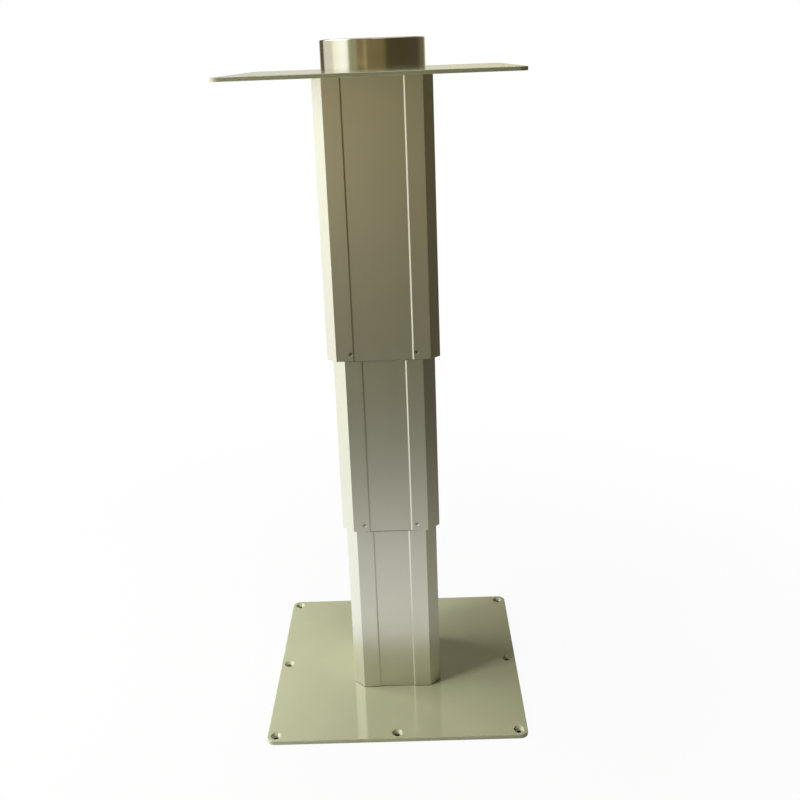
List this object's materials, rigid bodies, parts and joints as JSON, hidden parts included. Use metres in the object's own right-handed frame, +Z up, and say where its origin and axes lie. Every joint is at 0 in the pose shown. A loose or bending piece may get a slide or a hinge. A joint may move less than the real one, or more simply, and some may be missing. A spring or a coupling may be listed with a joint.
{
  "type": "telescopic table leg",
  "caption": "Upright lifting column: nested eight-sided tubes between two square drilled plates, raised by concentric screws and a geared motor under a round cover.",
  "frame": {"origin": "centre of the base plate's underside, on the floor", "axes": "+Z up along the column's axis; +X and +Y square to the plates' sides, +Y towards the cable outlet"},
  "size_m": [0.3, 0.3, 0.771],
  "materials": {
    "painted_plate": "glossy grey-green enamel",
    "anodised_tube": "satin anodised extrusion",
    "turned_steel": "fine turned and polished",
    "screw_steel": "plated",
    "spindle_steel": "rolled and oiled",
    "machined_aluminium": "as machined",
    "glide_plastic": "moulded, grey",
    "nut_bronze": "turned bronze",
    "motor_paint": "black, semi-matt",
    "black_rubber": "matt"
  },
  "bodies": {
    "base": {"base_plate": "painted_plate", "base_screws": "screw_steel", "lower_tube": "anodised_tube", "lower_top_pads": "glide_plastic", "lower_head": "machined_aluminium", "lower_head_screws": "screw_steel", "lower_nut": "nut_bronze", "lower_nut_screws": "screw_steel"},
    "middle": {"middle_tube": "anodised_tube", "middle_mouth_pads": "glide_plastic", "middle_pad_screws": "screw_steel", "middle_top_pads": "glide_plastic", "middle_head": "machined_aluminium", "middle_head_screws": "screw_steel", "upper_nut": "nut_bronze", "upper_nut_screws": "screw_steel", "bearing_cup": "machined_aluminium", "cup_screws": "screw_steel", "lower_bearing_outer": "spindle_steel", "lower_bearing_balls": "spindle_steel", "lower_bearing_clip": "spindle_steel"},
    "lower_screw": {"lower_screw": "spindle_steel", "lower_bearing_inner": "spindle_steel", "lower_screw_clip": "spindle_steel"},
    "outer": {"outer_tube": "anodised_tube", "outer_mouth_pads": "glide_plastic", "outer_pad_screws": "screw_steel", "top_plate": "painted_plate", "top_plate_screws": "screw_steel", "top_bearing_housing": "machined_aluminium", "housing_screws": "screw_steel", "top_bearing_outer": "spindle_steel", "top_bearing_balls": "spindle_steel", "drive_cover": "turned_steel", "cover_screws": "screw_steel", "motor_bracket": "machined_aluminium", "bracket_posts": "screw_steel", "bracket_screws": "screw_steel", "drive_motor": "motor_paint", "motor_screws": "screw_steel", "cable_grommet": "black_rubber"},
    "upper_screw": {"upper_screw": "spindle_steel", "top_bearing_inner": "spindle_steel", "drive_gear": "spindle_steel", "gear_clip": "spindle_steel", "drive_foot": "spindle_steel", "foot_screw": "screw_steel"},
    "pinion": {"motor_shaft": "spindle_steel", "motor_pinion": "spindle_steel"}
  },
  "joints": [
    {"name": "middle_slide", "type": "slide", "parent": "base", "child": "middle", "axis": [0, 0, 1], "range_m": [-0.2, 0]},
    {"name": "outer_slide", "type": "slide", "parent": "middle", "child": "outer", "axis": [0, 0, 1], "range_m": [-0.2, 0]},
    {"name": "lower_screw_spin", "type": "hinge", "parent": "middle", "child": "lower_screw", "pos_m": [0, 0, 0.6], "axis": [0, 0, 1], "continuous": true},
    {"name": "upper_screw_spin", "type": "hinge", "parent": "outer", "child": "upper_screw", "pos_m": [0, 0, 0.6], "axis": [0, 0, 1], "continuous": true},
    {"name": "pinion_spin", "type": "hinge", "parent": "outer", "child": "pinion", "pos_m": [0.028, 0, 0.6], "axis": [0, 0, 1], "continuous": true}
  ],
  "couplings": [
    {"joint": "outer_slide", "follows": "middle_slide", "ratio": 1},
    {"joint": "lower_screw_spin", "follows": "middle_slide", "rad_per_m": 628.32},
    {"joint": "upper_screw_spin", "follows": "middle_slide", "rad_per_m": 628.32},
    {"joint": "pinion_spin", "follows": "middle_slide", "rad_per_m": -1570.8}
  ]
}
